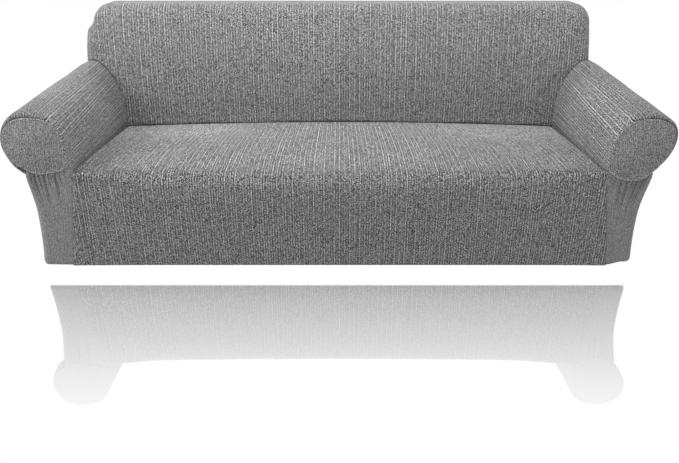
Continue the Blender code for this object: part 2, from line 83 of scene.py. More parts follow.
BACK_ENDS = (
    (0.640, 1.059, 1.047),
    (0.700, 1.055, 1.043),
    (0.748, 1.048, 1.039),
    (0.768, 1.042, 1.037),
    (0.786, 1.025, 1.035),
    (0.800, 1.018, 1.034),
    (0.868, 1.016, 1.033),
)
ROLL_X = 1.015
ROLL_Z = 0.485
ROLL_REAR_Z = 0.548
ROLL_REAR_Y = 0.660
ROLL = (
    (-62, 0.0950, 0.0990, 0.023, 0.008, 0.104),
    (-42, 0.1020, 0.0930, 0.014, 0.007, 0.104),
    (-20, 0.1050, 0.0950, 0.009, 0.007, 0.106),
    (0, 0.1095, 0.1000, 0.009, 0.010, 0.107),
    (20, 0.1120, 0.1070, 0.010, 0.013, 0.107),
    (38, 0.1130, 0.1120, 0.012, 0.012, 0.105),
    (53, 0.1095, 0.1060, 0.016, 0.012, 0.102),
    (67, 0.1045, 0.1010, 0.018, 0.013, 0.101),
    (81, 0.1002, 0.0968, 0.016, 0.013, 0.102),
    (96, 0.0982, 0.0945, 0.012, 0.011, 0.098),
    (112, 0.1005, 0.0965, 0.010, 0.010, 0.088),
    (130, 0.1015, 0.0985, 0.008, 0.009, 0.081),
    (148, 0.0975, 0.0990, 0.006, 0.007, 0.079),
    (165, 0.0925, 0.1015, 0.004, 0.004, 0.085),
)
INNER_X = {-1: 0.9110, 1: 0.9085}
INNER_REAR_X = 0.9060
KNEE_DROP = 0.090
FOOT = (1.0700, 0.3790)
FOOT_REAR = (1.0600, 0.4300)
ARM_FRONT_Y = 0.0035
ARM_NOSE = ((0.0, 0.0), (0.0025, 0.42), (0.0085, 0.80), (0.0200, 1.0))
FACE_DOME = 0.010
FACES = {-1: (0.4190, 1.012, 0.3885, 1.0660, 0.4060), 1: (0.4000, 0.998, 0.3640, 1.0620, 0.3960)}
SKIRT_CORNER_R = 0.030
SKIRT_CORNER_TOP_R = 0.012
SEAM_STEP = 0.0055
SKIRT_SIDE = (
    (0.042, 1.0730, 1.0560),
    (0.110, 1.0660, 1.0500),
    (0.180, 1.0620, 1.0475),
    (0.250, 1.0610, 1.0490),
    (0.320, 1.0640, 1.0560),
    (0.379, 1.0700, 1.0670),
)
HEM_LIFT = {-1: 0.001, 1: 0.013}
SIDE = {-1: "left", 1: "right"}


def mix(a, b, t):
    return a + (b - a) * t


def smooth(t):
    t = np.clip(t, 0.0, 1.0)
    return t * t * (3.0 - 2.0 * t)


def table(rows, at, column=1):
    rows = np.array(rows, float)
    return np.interp(at, rows[:, 0], rows[:, column])


def curve(rows, at, column=1):
    rows = np.array(rows, float)
    keys, values = rows[:, 0], rows[:, column]
    last = len(keys) - 1
    low, high = np.maximum(np.arange(last + 1) - 1, 0), np.minimum(np.arange(last + 1) + 1, last)
    slope = (values[high] - values[low]) / (keys[high] - keys[low])
    at = np.asarray(at, float)
    i = np.clip(np.searchsorted(keys, at, side="right") - 1, 0, last - 1)
    span = keys[i + 1] - keys[i]
    t = np.clip((at - keys[i]) / span, 0.0, 1.0)
    h = t * t * (3 - 2 * t)
    return values[i] + (values[i + 1] - values[i]) * h + span * (slope[i] * t * (1 - t) ** 2 - slope[i + 1] * t * t * (1 - t))


def steps(low, high, count):
    return [mix(low, high, i / count) for i in range(count + 1)]


def rear_inset(y):
    over = np.clip(np.asarray(y, float) - (REAR_Y - REAR_R), 0.0, REAR_R)
    return REAR_R - np.sqrt(np.maximum(0.0, REAR_R ** 2 - over ** 2))


def bump(x, middle, width):
    """A soft hump of height 1."""
    return np.exp(-(((x - middle) / width) ** 2))


def wander(a, b, scale, seed):
    """Slow unevenness between about -1 and 1, the same each run."""
    total = 0.0
    for k in range(5):
        p = seed * 1.7 + k * 2.399
        fx, fy = math.cos(p) * (1.0 + 0.37 * k), math.sin(p) * (1.0 + 0.37 * k)
        total = total + np.sin((a * fx + b * fy) * 2 * math.pi / scale + p * 3.1) / (1.0 + 0.5 * k)
    return total / 3.0


# ---- surfaces ----------------------------------------------------------------------------
def along(y):
    return np.clip(np.asarray(y, float) / ROLL_REAR_Y, 0.0, 1.0)


def inner_x(sign, y):
    return mix(INNER_X[sign], INNER_REAR_X, along(y))


def roll_radius(sign, angle, y, swell=1.0):
    column = 1 if sign < 0 else 2
    front = curve(ROLL, angle, column) + curve(ROLL, angle, column + 2) * swell
    return mix(front, curve(ROLL, angle, 5), along(y))


def roll_point(sign, angle, y, swell=1.0, inset=0.0):
    r = roll_radius(sign, angle, y, swell) - inset
    a = np.radians(angle)
    return ROLL_X + r * np.cos(a), mix(ROLL_Z, ROLL_REAR_Z, along(y)) + r * np.sin(a)


def roll_top_z(sign, x, y, inset=0.0):
    x = np.asarray(x, float)
    low, high = np.full(x.shape, 20.0), np.full(x.shape, 165.0)
    for _ in range(34):
        middle = (low + high) / 2
        right = roll_point(sign, middle, y, 1.0, inset)[0] > x
        low, high = np.where(right, middle, low), np.where(right, high, middle)
    return roll_point(sign, low, y, 1.0, inset)[1]


def back_end_x(sign, z):
    return curve(BACK_ENDS, z, 1 if sign < 0 else 2)


def back_face_y(z):
    return BACK_FOOT_Y + BACK_LEAN * np.maximum(0.0, z - BACK_FOOT_Z)


def back_surface_y(sign, x, z):
    """Front of the back at half width x on one side, or REAR_Y outside its outline."""
    end, top = back_end_x(sign, z) - x, BACK_TOP_Z - z
    corner = (end < BACK_CORNER_R) & (top < BACK_CORNER_R)
    inside = np.where(corner, BACK_CORNER_R - np.hypot(BACK_CORNER_R - end, BACK_CORNER_R - top), np.minimum(end, top))
    y = back_face_y(z) - BACK_PUFF * smooth(inside / 0.25) * smooth((z - BACK_FOOT_Z) / 0.15)
    turned = np.clip(BACK_EDGE_R - inside, 0.0, BACK_EDGE_R)
    y = y + BACK_EDGE_R - np.sqrt(np.maximum(0.0, BACK_EDGE_R ** 2 - turned ** 2))
    return np.where(inside <= 0.0, REAR_Y, y)


# ---- sheets ------------------------------------------------------------------------------
def grid_normals(points, outward):
    """Unit normals of a grid (n, m, 3), facing outward(points)."""
    du = np.gradient(points, axis=0)
    dv = np.gradient(points, axis=1)
    normal = np.cross(du, dv)
    size = np.linalg.norm(normal, axis=2, keepdims=True)
    normal = normal / np.maximum(size, 1e-12)
    return normal * outward


def edge_in(points, facts, outward, edge, width, depth, skip=None):
    """Rounds one edge of a grid inwards over its last width and runs it on inside by depth.

    edge is "i0", "i1", "j0" or "j1"; facts are the numbers that each point carries.
    """
    turn, flip = edge[0] == "i", edge[1] == "1"
    if turn:
        points, facts, outward = points.swapaxes(0, 1), facts.swapaxes(0, 1), -outward
    if flip:
        points, facts, outward = points[:, ::-1], facts[:, ::-1], -outward
    normal = grid_normals(points, outward)
    for _ in range(2):
        normal[1:-1] = (normal[:-2] + 2 * normal[1:-1] + normal[2:]) / 4
    normal /= np.maximum(np.linalg.norm(normal, axis=2, keepdims=True), 1e-12)
    step = np.linalg.norm(np.diff(points, axis=1), axis=2)
    far = np.concatenate([np.zeros((len(points), 1)), np.cumsum(step, axis=1)], axis=1)
    keep = 1
    while far[:, keep].min() < width * 1.1:
        keep += 1
    shares = [0.0, 0.035, 0.14, 0.30, 0.50, 0.74, 1.0]
    new_p, new_f = [], []
    for share in shares:
        d = share * width
        k = np.clip((far <= d).sum(axis=1) - 1, 0, far.shape[1] - 2)
        rows = np.arange(len(points))
        t = ((d - far[rows, k]) / np.maximum(far[rows, k + 1] - far[rows, k], 1e-12))[:, None]
        off = width * (1.0 - math.sqrt(max(0.0, 1.0 - (1.0 - share) ** 2)))
        p = mix(points[rows, k], points[rows, k + 1], t)
        n = mix(normal[rows, k], normal[rows, k + 1], t)
        if share < 0.05:
            n = normal[rows, 1]
        new_p.append(p - n * off)
        new_f.append(mix(facts[rows, k], facts[rows, k + 1], t))
    if depth:
        first = new_p[0]
        inward = normal[:, 1]
        for d in (0.45, 1.0):
            new_p.insert(0, first - inward * depth * d)
            f = new_f[0].copy()
            f[:, 1 if not turn else 0] -= depth * 0.5
            new_f.insert(0, f)
    points = np.concatenate([np.stack(new_p, axis=1), points[:, keep:]], axis=1)
    facts = np.concatenate([np.stack(new_f, axis=1), facts[:, keep:]], axis=1)
    if flip:
        points, facts = points[:, ::-1], facts[:, ::-1]
    if turn:
        points, facts = points.swapaxes(0, 1), facts.swapaxes(0, 1)
    return points, facts


def sheet_object(name, points, facts, faces, material, thickness=CLOTH):
    """A closed sheet from its outer surface. facts: across and along the ribs in metres, the painted light and shade
    and how deep the ribs look.
    """
    mesh = bpy.data.meshes.new(name)
    mesh.from_pydata([tuple(p) for p in (points - MOUNT)], [], faces)
    mesh.update()
    mesh.materials.append(material)
    knit = mesh.attributes.new("knit", "FLOAT_VECTOR", "POINT")
    values = np.zeros((len(points), 3), np.float32)
    values[:, :2] = facts[:, :2]
    values[:, 2] = facts[:, 3] if facts.shape[1] > 3 else 1.0
    knit.data.foreach_set("vector", values.ravel())
    painted_shading = mesh.attributes.new("painted_shading", "FLOAT", "POINT")
    painted_shading.data.foreach_set("value", np.ascontiguousarray(facts[:, 2], np.float32))
    item = bpy.data.objects.new(name, mesh)
    bpy.context.scene.collection.objects.link(item)
    mesh.shade_smooth()
    thick = item.modifiers.new("cloth", "SOLIDIFY")
    thick.thickness = thickness
    thick.offset = -1.0
    thick.use_even_offset = False
    thick.use_rim = True
    bpy.context.view_layer.objects.active = item
    item.select_set(True)
    bpy.ops.object.modifier_apply(modifier="cloth")
    item.select_set(False)
    return item


def grid_faces(n, m, flip):
    a = (np.arange(n - 1)[:, None] * m + np.arange(m - 1)[None, :]).ravel()
    quads = np.stack([a, a + m, a + m + 1, a + 1], axis=1)
    if flip:
        quads = quads[:, ::-1]
    return quads.tolist()


def grid_object(name, points, facts, outward, material):
    n, m = points.shape[:2]
    return sheet_object(name, points.reshape(-1, 3), facts.reshape(-1, facts.shape[2]), grid_faces(n, m, outward < 0), material)


def hem(points, facts, outward, edge="j0"):
    """Turns the hem under in a small round."""
    return edge_in(points, facts, outward, edge, 0.0022, 0.0)


# ---- seat and front ------------------------------------------------------------------------
def seat_panel():
    across = list(np.linspace(0.0, 1.0, 131))
    half = [(s, 0.0, False) for s in across] + [(1.0, d, True) for d in np.linspace(0, 90, 9)[1:]]
    columns = [(-1, *c) for c in half[::-1]] + [(1, *c) for c in half[1:]]
    grid, facts = [], []
    for sign, s, turn, turned in columns:
        line = []
        a = math.radians(turn)
        radius = mix(EDGE_R, EDGE_R_SIDE, float(smooth((s - 0.75) / 0.25)))
        edge_y = FRONT_Y + radius
        tuck_y = SEAT_REAR_Y - SEAT_TUCK

        def seat_z(t):
            return mix(SEAT_REAR_Z, SEAT_FRONT_Z, t) + SEAT_CROWN * math.sin(math.pi * t) - s * s * mix(SEAT_SINK_REAR, -SEAT_RISE_FRONT, t)

        def x_at(tuck, width):
            flat = width - tuck
            return sign * (flat + tuck * math.sin(a) if turned else s * flat)

        def drop(tuck):
            return tuck * (1.0 - math.cos(a))

        width = float(inner_x(sign, SEAT_REAR_Y)) - SOLID
        top = seat_z(0.0)
        low = min(TUCK_FOOT_Z, top - SEAT_TUCK - 0.004)
        for t in (0.0, 0.4, 0.75):
            line.append((x_at(SEAT_TUCK, width), SEAT_REAR_Y, mix(low, top - SEAT_TUCK - drop(SEAT_TUCK) * 0.0, t)))
        for d in np.linspace(0, 90, 9)[:-1]:
            c, n = math.cos(math.radians(d)), math.sin(math.radians(d))
            line.append((x_at(SEAT_TUCK, width), tuck_y + SEAT_TUCK * c, top - SEAT_TUCK + SEAT_TUCK * n - drop(SEAT_TUCK) * n))
        for t in np.linspace(0.0, 1.0, 45):
            y = mix(tuck_y, edge_y, t)
            tuck = mix(SEAT_TUCK, 0.006, float(smooth((t - 0.5) / 0.5)))
            width = float(inner_x(sign, y)) - SOLID
            line.append((x_at(tuck, width), y, seat_z(t) - drop(tuck)))
        front_z = seat_z(1.0)
        for d in np.linspace(0, 90, 17)[1:-1]:
            c, n = math.cos(math.radians(d)), math.sin(math.radians(d))
            z = front_z - radius + radius * c
            tuck = mix(0.006, 0.001, d / 90)
            width = mix(float(inner_x(sign, 0.0)) - SOLID, float(table(FRONT_SEAM, z)) + FRONT_LAP, float(smooth((d - 40) / 50)))
            line.append((x_at(tuck, width), edge_y - radius * n + drop(tuck) * n, z - drop(tuck) * c))
        high = front_z - radius
        for t in list(np.linspace(0.0, 0.96, 45)) + [0.975, 0.988, 1.0]:
            z = mix(high, HEM_Z, t)
            y = FRONT_Y - FRONT_BELLY * math.sin(math.pi * min(1.0, t * 1.08)) * (1.0 - s ** 4) + HEM_TURN(t) * (1.0 - s ** 8)
            y += 0.0022 * float(smooth((abs(s) - 0.992) / 0.008))
            width = float(table(FRONT_SEAM, z)) + FRONT_LAP
            line.append((x_at(0.001, width), y, z))
        line = np.array(line)
        # On top the loops are drawn out towards the front, and the ribs fan out from the rear.
        lengths = np.linalg.norm(np.diff(line[:, 1:], axis=0), axis=1)
        lengths = lengths * (1.0 - 0.5 * smooth((line[1:, 2] - 0.35) / 0.03))
        v = np.concatenate([[0.0], np.cumsum(lengths)])
        u = line[:, 0] * 1.10 * (1.0 + 0.125 * np.clip((line[:, 1] - 0.13) / 0.50, 0, 1) ** 2)
        if turned:
            u = u + sign * SEAT_TUCK * a * 0.6
        grid.append(line)
        facts.append(np.stack([u, v, np.ones(len(v))], axis=1))
    points, facts = np.array(grid), np.array(facts)
    x, y, z = points[..., 0], points[..., 1], points[..., 2]
    # The cushions under the cloth press it up a little unevenly.
    top = smooth((z - 0.36) / 0.03) * smooth((0.60 - y) / 0.08) * smooth((y - 0.0) / 0.05) * smooth((0.88 - np.abs(x)) / 0.06)
    points[..., 2] += top * 0.0016 * wander(x, y, 0.55, 3.0)
    front = smooth((0.34 - z) / 0.06) * smooth((z - HEM_Z) / 0.05) * smooth((0.90 - np.abs(x)) / 0.05) * smooth((0.03 - y) / 0.02)
    points[..., 1] += front * 0.0014 * wander(x, z * 0.6, 0.42, 7.0)
    # On top the ribs are pulled open and look deeper; their contrast is raised there, partly as painted shadow in the
    # grooves.
    level = smooth((np.abs(grid_normals(points, 1.0)[..., 2]) - 0.90) / 0.09) * smooth((z - 0.33) / 0.02)
    deep = 1.0 + level * smooth((y + 0.02) / 0.09) * (2.0 + 1.2 * smooth((y - 0.30) / 0.25) * smooth((np.abs(x) - 0.25) / 0.35))
    # Painted shade: where the cloth faces up it is made darker, a little more towards the front.
    facts[..., 2] = 1.0 - (0.44 + 0.07 * smooth((0.52 - y) / 0.25)) * level
    # Over the front edge the light falls off evenly.
    facts[..., 2] *= 1.0 - 0.13 * smooth((0.17 - y) / 0.14) * smooth((z - 0.35) / 0.03)
    facts[..., 2] *= 1.0 + 0.10 * smooth((z - 0.27) / 0.07) * smooth((0.37 - z) / 0.02)
    # Tucked in at the rear and the sides, it lies in shade.
    facts[..., 2] *= 1.0 - 0.88 * smooth((y - 0.622) / 0.008)
    facts[..., 2] *= 1.0 - 0.55 * smooth((np.abs(x) - 0.897) / 0.011) * smooth((z - 0.35) / 0.02) * smooth((y - 0.01) / 0.03)
    return points, np.concatenate([facts, deep[..., None]], axis=2)


def HEM_TURN(t):
    return 0.004 * float(smooth((t - 0.9) / 0.1))


# ---- inside back ---------------------------------------------------------------------------
def back_lean_in(value, edge):
    return np.interp(value, [0.80, edge - 0.0006, edge + 0.010, edge + 0.024, edge + 0.040], [0.0, 0.010, 0.018, 0.027, 0.036])


def back_panel():
    """The front of the back panel as one grid: over its front and round its edge to the rim."""
    columns = []
    for sign in (-1, 1):
        edge = float(roll_point(sign, 165.0, ROLL_REAR_Y)[0])
        flat = list(np.linspace(0.0, 0.86, 111)) + list(np.linspace(0.86, edge - 0.0006, 12)[1:]) + [edge + 0.0006]
        flat += list(np.linspace(edge + 0.0006, edge + 0.040, 9)[1:])
        half = [("flat", v) for v in flat] + [("corner", d) for d in np.linspace(0, 90, 19)]
        half = [(sign, *c, edge) for c in half]
        columns += half[::-1] if sign < 0 else half[1:]
    shares = np.concatenate([np.linspace(0.0, 0.94, 58), [0.97]])
    angles = np.linspace(90, 0, 15)
    grid = []
    for sign, kind, value, edge in columns:
        if kind == "flat":
            low = TUCK_FOOT_Z + 0.002 if value < edge else float(roll_top_z(sign, value, ROLL_REAR_Y)) + GAP * 1.5
            high, inset = BACK_TOP_Z, None
        else:
            a = math.radians(value)
            high = BACK_TOP_Z - BACK_CORNER_R * (1.0 - math.cos(a))
            inset = BACK_CORNER_R * (1.0 - math.sin(a))
            low = 0.64
            for _ in range(8):
                low = float(roll_top_z(sign, float(back_end_x(sign, low)) - inset, ROLL_REAR_Y)) + GAP * 1.5
        z = np.concatenate([mix(low, high - BACK_EDGE_R, shares), high - BACK_EDGE_R * (1.0 - np.cos(np.radians(angles)))])
        if kind == "flat":
            x = value - back_lean_in(value, edge) * smooth((z - low) / (0.7 * (high - low)))
        else:
            x = back_end_x(sign, z) - inset
        y = np.minimum(back_surface_y(sign, x, z), back_face_y(z) + BACK_EDGE_R)
        grid.append(np.stack([sign * x, y, z], axis=1))
    return np.array(grid)


def back_rear(grid):
    """The strip from the front's rim to the rear seam, as a grid of its own (rim, rear steps)."""
    last = len(grid) - 1
    rim = np.concatenate([grid[0], grid[1:last, -1], grid[last][::-1]])
    around = np.roll(rim, 0, axis=0)
    before, after = np.vstack([around[:1], around[:-1]]), np.vstack([around[1:], around[-1:]])
    # Rear directions are read over a longer stretch, so that they turn evenly.
    dx, dz = after[:, 0] - before[:, 0], after[:, 2] - before[:, 2]
    size = np.maximum(np.hypot(dx, dz), 1e-9)
    nx, nz = dz / size, -dx / size
    for _ in range(6):
        nx[1:-1], nz[1:-1] = (nx[:-2] + 2 * nx[1:-1] + nx[2:]) / 4, (nz[:-2] + 2 * nz[1:-1] + nz[2:]) / 4
    size = np.hypot(nx, nz)
    nx, nz = nx / size, nz / size
    rows = []
    start = REAR_Y - REAR_R
    for f in np.linspace(0.0, 1.0, 13)[1:-1]:
        p = rim.copy()
        p[:, 1] = mix(rim[:, 1], start, f)
        for k in (0, len(rim) - 1):
            sign = -1 if rim[k, 0] < 0 else 1
            p[k, 2] = roll_top_z(sign, abs(rim[k, 0]), p[k, 1]) + GAP * 1.5
        rows.append(p)
    for d in np.linspace(0, 90, 10):
        y = start + REAR_R * math.sin(math.radians(d))
        inset = float(rear_inset(y))
        p = rim.copy()
        p[:, 0] += nx * inset
        p[:, 1] = y
        p[:, 2] += nz * inset
        for k in (0, len(rim) - 1):
            sign = -1 if rim[k, 0] < 0 else 1
            px = abs(rim[k, 0]) - inset
            p[k] = (sign * px, y, float(roll_top_z(sign, px, y, inset)) + GAP * 1.5)
        rows.append(p)
    return rim, np.stack(rows, axis=1), np.stack([nx, nz], axis=1)


# ---- arms ----------------------------------------------------------------------------------
def arm_angles(sign):
    beside = 70.0
    for _ in range(20):
        x, z = roll_point(sign, beside, ROLL_REAR_Y)
        beside += (float(x) - float(back_end_x(sign, float(z))) - GAP * 1.2) * 600.0
    inner = list(np.linspace(165, beside, 40))
    outer = list(np.linspace(beside, -62, 56)[1:])
    return inner + outer, 39


def arm_section(sign, y, swell, inset, angles):
    """Rows of the arm's section at y: x and z of every line, from the foot at the seat over the roll."""
    top_x, top_z = roll_point(sign, 165.0, y, swell)
    low_x = inner_x(sign, y)
    knee_z = top_z - KNEE_DROP
    xs, zs = [], []
    for t in np.linspace(0.0, 1.0, 22):
        xs.append(low_x)
        zs.append(mix(TUCK_FOOT_Z, knee_z, t))
    for t in np.linspace(0.0, 1.0, 14)[1:-1]:
        xs.append(mix(low_x, top_x, t))
        zs.append(mix(knee_z, top_z, t))
    for a in angles:
        x, z = roll_point(sign, a, y, swell, inset)
        xs.append(x)
        zs.append(z)
    foot_x, foot_z = (mix(a, b, along(y)) for a, b in zip(FOOT, FOOT_REAR))
    last_x, last_z = xs[-1], zs[-1]
    for t in (0.33, 0.66, 1.0):
        xs.append(mix(last_x, foot_x - inset, t))
        zs.append(mix(last_z, foot_z, t))
    return np.array([float(v) for v in xs]), np.array([float(v) for v in zs])


def arm_panel(sign):
    angles, beside = arm_angles(sign)
    beside += 22 + 12
    count = 22 + 12 + len(angles) + 3
    ends = np.zeros(count)
    for i in range(count):
        end = ROLL_REAR_Y
        for _ in range(8):
            xs, zs = arm_section_point(sign, end, i, angles)
            found = float(back_surface_y(sign, xs, zs)) - GAP * 1.5
            end = REAR_Y if found > REAR_Y - 0.01 else found
        ends[i] = end
    runs_on = ends >= REAR_Y - 1e-6
    runs_on[beside] = True
    nose_y = [0.0, 0.0008, 0.0025, 0.0052, 0.0085, 0.0135, 0.0200]
    nose = [float(np.interp(v, [r[0] for r in ARM_NOSE], [r[1] for r in ARM_NOSE])) for v in nose_y]
    nose = [0.0, 0.20, 0.42, 0.64, 0.80, 0.93, 1.0]
    common = list(np.linspace(0.035, 0.60, 40))
    grid = []
    rows = [(ARM_FRONT_Y + b, s) for b, s in zip(nose_y, nose)]
    sections = [arm_section(sign, 0.0, s, 0.0, angles) for _, s in rows]
    body = [arm_section(sign, y, 1.0, 0.0, angles) for y in common]
    late = np.linspace(0.0, 1.0, 22)[1:]
    rear_ys = [mix(0.60, REAR_Y - REAR_R, t) for t in np.linspace(0.0, 1.0, 13)[1:]] + [REAR_Y - REAR_R + REAR_R * math.sin(math.radians(d)) for d in np.linspace(0, 90, 10)[1:]]
    for i in range(count):
        line = [(xs[i], y, zs[i]) for (y, _), (xs, zs) in zip(rows, sections)]
        line += [(xs[i], y, zs[i]) for y, (xs, zs) in zip(common, body)]
        if runs_on[i]:
            for y in rear_ys:
                inset = float(rear_inset(y))
                x, z = arm_section_point(sign, y, i, angles, inset)
                if i == beside and y > 0.68:
                    x = float(back_end_x(sign, z)) - inset + GAP * 1.2
                    z = float(roll_top_z(sign, x, y, inset))
                line.append((x, y, z))
        else:
            for t in late:
                y = mix(0.60, ends[i], t)
                x, z = arm_section_point(sign, y, i, angles)
                line.append((x, y, z))
        grid.append(line)
    points = np.array(grid, float)
    # Towards its foot the front edge turns back with the rounded corner of the skirt below.
    back_by = SKIRT_CORNER_TOP_R * smooth((np.arange(count) - (count - 6)) / 5.0)
    points[..., 1] += back_by[:, None] * smooth(1.0 - points[..., 1] / 0.10)
    # Ribs run along the arm: across them is the way round the roll.
    ring = np.linalg.norm(np.diff(points[:, 20, [0, 2]], axis=0), axis=1)
    u = np.concatenate([[0.0], np.cumsum(ring)])
    u = np.repeat(u[:, None], points.shape[1], axis=1)
    step = np.linalg.norm(np.diff(points, axis=1), axis=2)
    far = np.concatenate([np.zeros((count, 1)), np.cumsum(step, axis=1)], axis=1)
    nose_last = len(nose_y) + 2
    v = np.where(np.arange(points.shape[1])[None, :] < nose_last, points[:, nose_last, 1][:, None] - (far[:, nose_last][:, None] - far), points[..., 1])
    y, z = points[..., 1], points[..., 2]
    # Shade in the seam round the face, in the tuck beside the seat and where the arm meets the back.
    turn = np.concatenate([np.full(34, 165.0), np.array(angles), np.full(count - 34 - len(angles), -62.0)])
    painted_shading = 1.0 - (0.88 * smooth((140.0 - turn) / 40.0) * smooth((turn + 75.0) / 20.0))[:, None] * np.exp(-((far / 0.0042) ** 2))
    painted_shading *= 1.0 - 0.60 * smooth((34 - np.arange(count)) / 4.0)[:, None] * np.exp(-(((z - 0.388) / 0.016) ** 2)) * mix(0.6, 1.0, along(y))
    painted_shading *= 1.0 - 0.60 * smooth((y - (ends[:, None] - 0.012)) / 0.012) * (~runs_on)[:, None]
    # Painted light and shade: the inner side of the roll is made lighter than its top and outside, the front of its top
    # darker, by different amounts on the left and right arm, and its rear end lies in painted shade of the back.
    painted_shading *= mix(*{-1: (1.18, 1.0), 1: (1.24, 0.91)}[sign], smooth((150.0 - turn) / 60.0))[:, None]
    painted_shading *= 1.0 - {-1: 0.30, 1: 0.17}[sign] * smooth((0.34 - y) / 0.28) * smooth((150.0 - turn) / 60.0)[:, None]
    painted_shading *= 1.0 - 0.26 * smooth((y - 0.42) / 0.16) * smooth((turn - 105.0) / 35.0)[:, None]
    facts = np.stack([u, v, painted_shading], axis=2)
    # Soft unevenness of the padded roll, fading at its seams.
    calm = smooth((y - 0.02) / 0.08) * smooth((0.62 - y) / 0.08)
    swell = 0.0016 * wander(u * 1.3, y, 0.45, 1.0 if sign < 0 else 4.0) * calm
    normal = grid_normals(points, 1.0)
    if normal[60, 20, 2] < 0:
        normal = -normal
    points = points + normal * swell[..., None] * smooth((u - 0.10) / 0.05)[..., None]
    points[..., 0] *= sign
    return points, facts, beside


def arm_section_point(sign, y, i, angles, inset=0.0):
    """One point of the section; the same as arm_section, for one line only."""
    if i < 34:
        top_x, top_z = (float(v) for v in roll_point(sign, 165.0, y))
        low_x = float(inner_x(sign, y))
        knee_z = top_z - KNEE_DROP
        if i < 22:
            return low_x, mix(TUCK_FOOT_Z, knee_z, i / 21)
        t = (i - 21) / 13
        return mix(low_x, top_x, t), mix(knee_z, top_z, t)
    k = min(i - 34, len(angles) - 1)
    x, z = (float(v) for v in roll_point(sign, angles[k], y, 1.0, inset))
    over = i - 34 - k
    if over:
        foot_x, foot_z = (float(mix(a, b, along(y))) for a, b in zip(FOOT, FOOT_REAR))
        t = (0.33, 0.66, 1.0)[over - 1]
        return mix(x, foot_x - inset, t), mix(z, foot_z, t)
    return x, z


# ---- round faces -----------------------------------------------------------------------------
def circle_through(a, b, c):
    ax, ay, bx, by, cx, cy = *a, *b, *c
    d = 2 * (ax * (by - cy) + bx * (cy - ay) + cx * (ay - by))
    ux = ((ax * ax + ay * ay) * (by - cy) + (bx * bx + by * by) * (cy - ay) + (cx * cx + cy * cy) * (ay - by)) / d
    uy = ((ax * ax + ay * ay) * (cx - bx) + (bx * bx + by * by) * (ax - cx) + (cx * cx + cy * cy) * (bx - ax)) / d
    return ux, uy, math.hypot(ax - ux, ay - uy)


def face_seam_z(sign, x):
    inner_z, low_x, low_z, outer_x, outer_z = FACES[sign]
    inner = INNER_X[sign] + 0.001
    a = circle_through((inner, inner_z), (low_x, low_z), (2 * low_x - inner, inner_z))
    b = circle_through((2 * low_x - outer_x, outer_z), (low_x, low_z), (outer_x, outer_z))
    x = np.clip(np.asarray(x, float), inner, outer_x)
    ux, uz, ur = (np.where(x < low_x, p, q) for p, q in zip(a, b))
    return uz - np.sqrt(np.maximum(0.0, ur * ur - (x - ux) ** 2))


def face_outline(sign):
    inner_z, _, _, outer_x, outer_z = FACES[sign]
    top_x, top_z = (float(v) for v in roll_point(sign, 165.0, 0.0, 0.0))
    low_x = INNER_X[sign] + 0.001
    knee_z = max(top_z - KNEE_DROP, inner_z + 0.004)
    points = [(low_x, mix(inner_z, knee_z, t)) for t in np.linspace(0, 1, 8)]
    points += [(mix(low_x, top_x, t), mix(knee_z, top_z, t)) for t in np.linspace(0, 1, 14)[1:-1]]
    for a in np.linspace(165, -42, 110):
        x, z = roll_point(sign, a, 0.0, 0.0)
        points.append((float(x), float(z)))
    last = points[-1]
    points += [(mix(last[0], outer_x, t), mix(last[1], outer_z, t)) for t in (0.25, 0.5, 0.75, 1.0)]
    upper = len(points)
    points += [(x, float(face_seam_z(sign, x))) for x in np.linspace(outer_x, low_x, 60)[1:-1]]
    return np.array(points), upper


